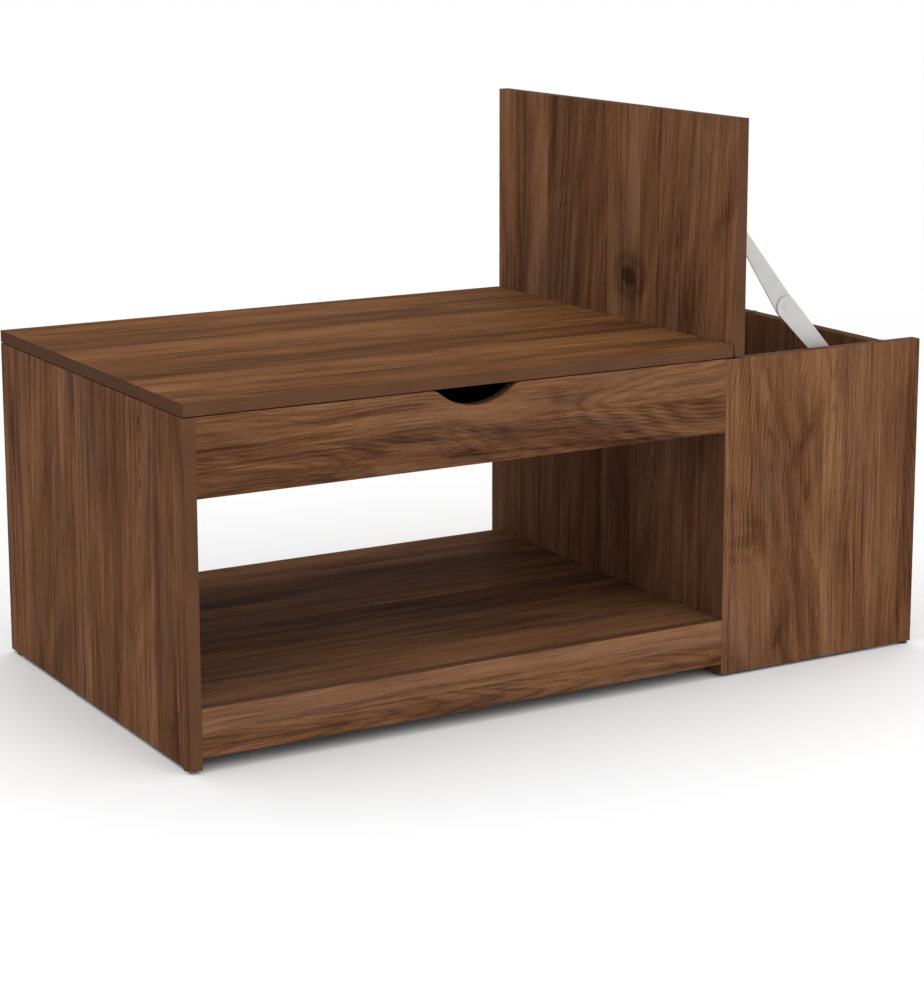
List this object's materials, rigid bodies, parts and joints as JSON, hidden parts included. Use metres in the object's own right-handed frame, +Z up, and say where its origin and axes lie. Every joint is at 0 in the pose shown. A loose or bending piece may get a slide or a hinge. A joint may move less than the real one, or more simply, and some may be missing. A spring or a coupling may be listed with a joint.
{
  "type": "lift top coffee table",
  "caption": "Walnut-look coffee table with a lift-up top over a tray, an open shelf and a storage box under a hinged end lid with a folding stay.",
  "frame": {"origin": "on the floor under the middle of the table's length and depth", "axes": "+X along the length towards the storage box, +Y towards the back, +Z up"},
  "size_m": [1.095, 0.6, 0.745],
  "materials": {
    "walnut_board": "satin walnut foil",
    "black_glide": "matt black",
    "clear_bumper": "translucent soft pad",
    "beech_dowel": "raw",
    "stay_steel": "light grey satin",
    "zinc_fittings": "zinc plated",
    "hinge_nickel": "nickel plated",
    "lift_steel": "black powder coat",
    "spring_wire": "oiled spring wire"
  },
  "bodies": {
    "case": {"left_side_panel": "walnut_board", "divider_panel": "walnut_board", "right_side_panel": "walnut_board", "box_front_panel": "walnut_board", "box_rear_panel": "walnut_board", "box_floor": "walnut_board", "front_apron": "walnut_board", "rear_apron": "walnut_board", "tray_floor": "walnut_board", "shelf": "walnut_board", "front_rail": "walnut_board", "rear_rail": "walnut_board", "glides": "black_glide", "top_bumpers": "clear_bumper", "rim_bumpers": "clear_bumper", "dowels": "beech_dowel", "cam_discs": "zinc_fittings", "cam_bolts": "zinc_fittings", "hinge_arms": "hinge_nickel", "hinge_plates": "hinge_nickel", "hinge_plate_screws": "zinc_fittings", "stay_box_bracket": "stay_steel", "stay_box_screws": "zinc_fittings", "lift_base_left": "lift_steel", "lift_base_right": "lift_steel", "lift_base_pins": "zinc_fittings", "lift_base_screws": "zinc_fittings"},
    "lid": {"storage_lid": "walnut_board", "hinge_cups": "hinge_nickel", "hinge_pins": "zinc_fittings", "hinge_cup_screws": "zinc_fittings", "stay_lid_bracket": "stay_steel", "stay_lid_screws": "zinc_fittings"},
    "stay_lower": {"stay_lower_arm": "stay_steel", "stay_knee_rivet": "stay_steel"},
    "stay_upper": {"stay_upper_arm": "stay_steel"},
    "front_arms": {"front_arm_left": "lift_steel", "front_arm_right": "lift_steel", "lift_cross_bar": "lift_steel", "lift_springs": "spring_wire"},
    "rear_arms": {"rear_arm_left": "lift_steel", "rear_arm_right": "lift_steel"},
    "top": {"main_top": "walnut_board", "top_bracket_left": "lift_steel", "top_bracket_right": "lift_steel", "top_bracket_pins": "zinc_fittings", "top_bracket_screws": "zinc_fittings"}
  },
  "joints": [
    {"name": "lid_hinge", "type": "hinge", "parent": "case", "child": "lid", "pos_m": [0.2445, 0, 0.442], "axis": [0, 1, 0], "range_deg": [0, 90]},
    {"name": "stay_box_pivot", "type": "hinge", "parent": "case", "child": "stay_lower", "pos_m": [0.4295, -0.277, 0.391], "axis": [0, 1, 0], "range_deg": [-71.9, 0]},
    {"name": "stay_lid_pivot", "type": "hinge", "parent": "lid", "child": "stay_upper", "pos_m": [0.2625, -0.2746, 0.59], "axis": [0, 1, 0], "range_deg": [-10.92, 0]},
    {"name": "lift_front_pivot", "type": "hinge", "parent": "case", "child": "front_arms", "pos_m": [-0.5055, -0.12, 0.3738], "axis": [1, 0, 0], "range_deg": [0, 115]},
    {"name": "lift_rear_pivot", "type": "hinge", "parent": "case", "child": "rear_arms", "pos_m": [-0.5055, -0.03, 0.3698], "axis": [1, 0, 0], "range_deg": [0, 115.11]},
    {"name": "lift_top_pivot", "type": "hinge", "parent": "front_arms", "child": "top", "pos_m": [-0.5055, 0.09666, 0.412], "axis": [1, 0, 0], "range_deg": [-115.11, 0]}
  ],
  "couplings": [
    {"joint": "stay_box_pivot", "follows": "lid_hinge", "ratio": -0.79814},
    {"joint": "stay_lid_pivot", "follows": "lid_hinge", "ratio": -0.1212},
    {"joint": "lift_rear_pivot", "follows": "lift_front_pivot", "ratio": 1},
    {"joint": "lift_top_pivot", "follows": "lift_front_pivot", "ratio": -1}
  ]
}
